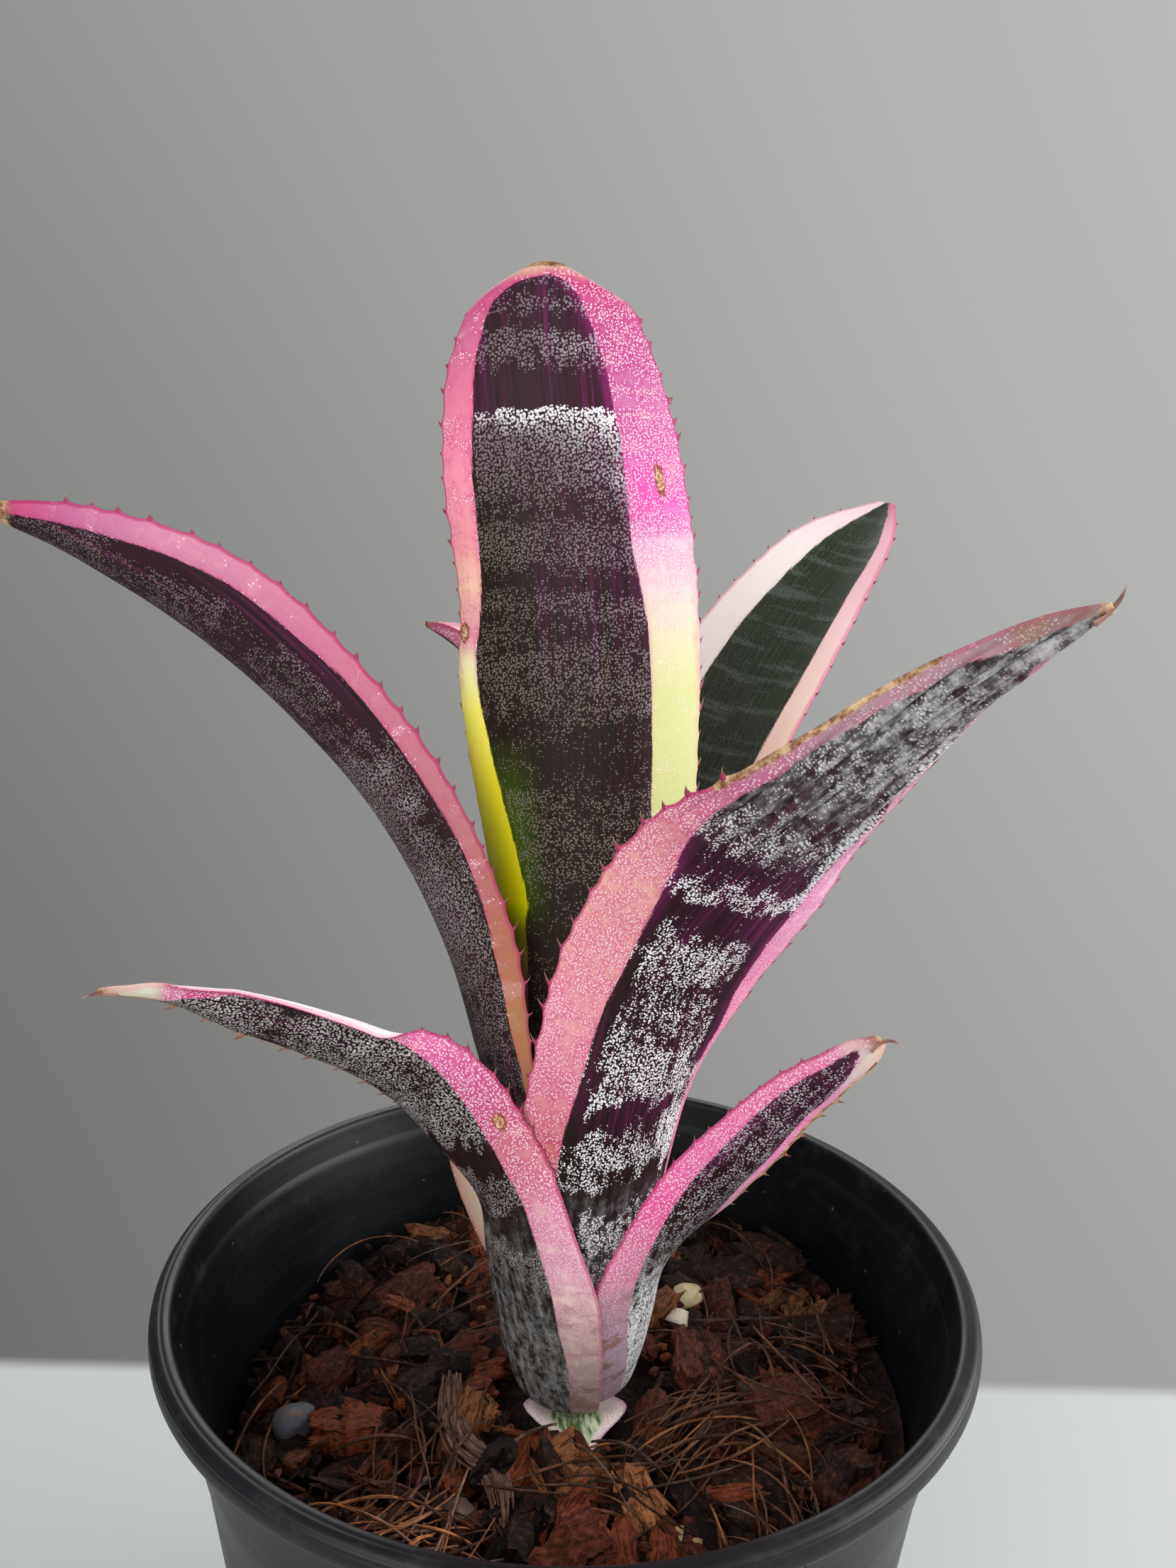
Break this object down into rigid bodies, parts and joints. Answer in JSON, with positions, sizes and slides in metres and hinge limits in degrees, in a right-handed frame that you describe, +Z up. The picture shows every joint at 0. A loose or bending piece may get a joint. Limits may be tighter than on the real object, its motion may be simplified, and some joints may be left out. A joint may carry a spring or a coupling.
{
  "type": "potted aechmea",
  "caption": "A variegated bromeliad with arching, spine-edged strap leaves round a central cup, rooted in bark mix in a round tapered nursery pot that stands on its flat base",
  "frame": {"origin": "centre of the pot's underside, on the surface it stands on", "axes": "+Z up, along the pot's axis and the tallest leaf; -Y is the front, towards the leaves that lean out over the rim; +X is the side of the large leaning leaf"},
  "size_m": [0.1715, 0.15, 0.2997],
  "materials": {
    "pot_plastic": "black moulded plastic, satin and a little dusty",
    "bark_mix": "damp shredded bark and coir",
    "bark_chip": "rough split bark",
    "coir_fibre": "dry stringy fibre",
    "stone": "matt weathered grit",
    "stem": "dry brown stem",
    "leaf": "stiff leaf, satin, purple-black with pink and cream margins under silver scales",
    "leaf_pale": "pale torn leaf base, satin"
  },
  "bodies": {
    "root": {"bark_bed": "bark_mix", "bark_strip": "bark_chip", "basal_leaf": "leaf_pale", "chip_01": "bark_chip", "chip_02": "bark_chip", "chip_03": "bark_chip", "chip_04": "bark_chip", "chip_05": "bark_chip", "chip_06": "bark_chip", "chip_07": "bark_chip", "chip_08": "bark_chip", "chip_09": "bark_chip", "chip_10": "bark_chip", "chip_11": "bark_chip", "chip_12": "bark_chip", "chip_13": "bark_chip", "chip_14": "bark_chip", "chip_15": "bark_chip", "chip_16": "bark_chip", "fibre_01": "coir_fibre", "fibre_02": "coir_fibre", "fibre_03": "coir_fibre", "leaf_back_left": "leaf", "leaf_back_right": "leaf", "leaf_centre": "leaf", "leaf_front_right": "leaf", "leaf_left": "leaf", "leaf_low_left": "leaf", "leaf_low_right": "leaf", "leaf_stub": "leaf", "pot": "pot_plastic", "stem": "stem", "stone_grey": "stone", "stone_pale_01": "stone", "stone_pale_02": "stone", "stone_round": "stone", "stone_yellow": "stone"}
  },
  "joints": []
}
